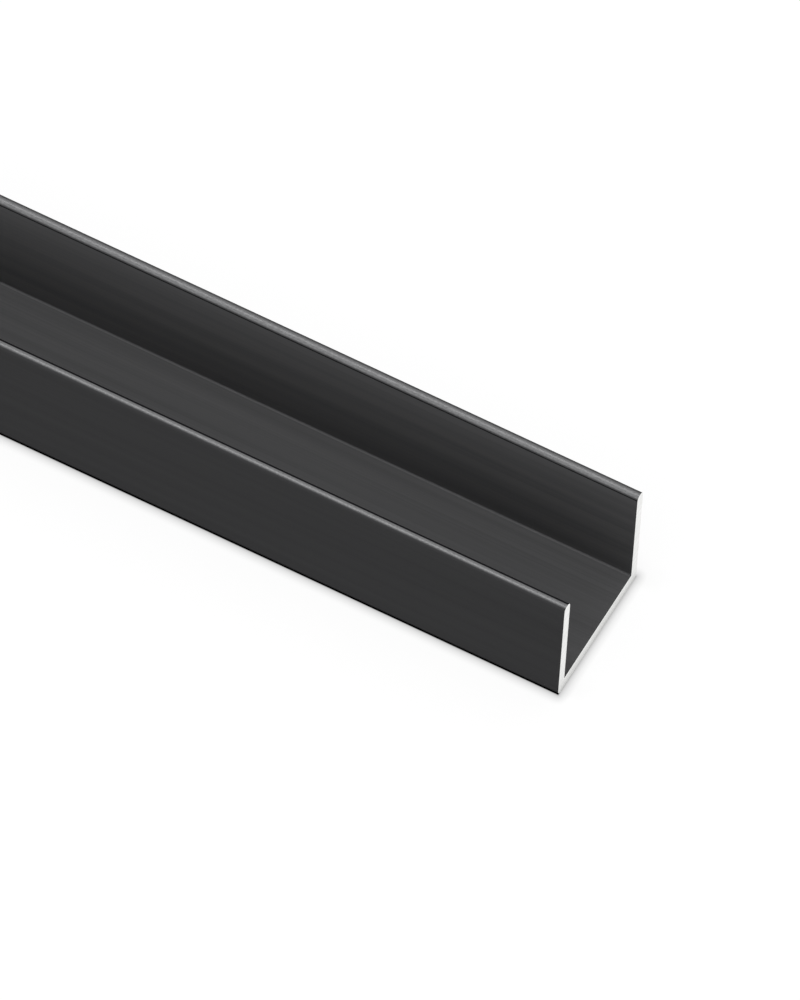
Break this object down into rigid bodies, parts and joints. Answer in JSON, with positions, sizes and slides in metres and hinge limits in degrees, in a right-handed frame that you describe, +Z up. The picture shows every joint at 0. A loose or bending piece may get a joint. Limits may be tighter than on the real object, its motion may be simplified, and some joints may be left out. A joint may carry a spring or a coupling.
{
  "type": "aluminium u-channel profile",
  "caption": "Straight length of black anodised aluminium U-channel stock: a flat web with two upright legs, for edging boards, guiding panels or framing.",
  "frame": {"origin": "on the floor, under the middle of the web, halfway along the stock", "axes": "+X along the stock, +Y across the web, +Z up the legs"},
  "size_m": [1, 0.022, 0.02],
  "materials": {
    "black_anodised_aluminium": "satin black anodised, with bare sawn ends"
  },
  "bodies": {
    "root": {"u_channel": "black_anodised_aluminium"}
  },
  "joints": []
}
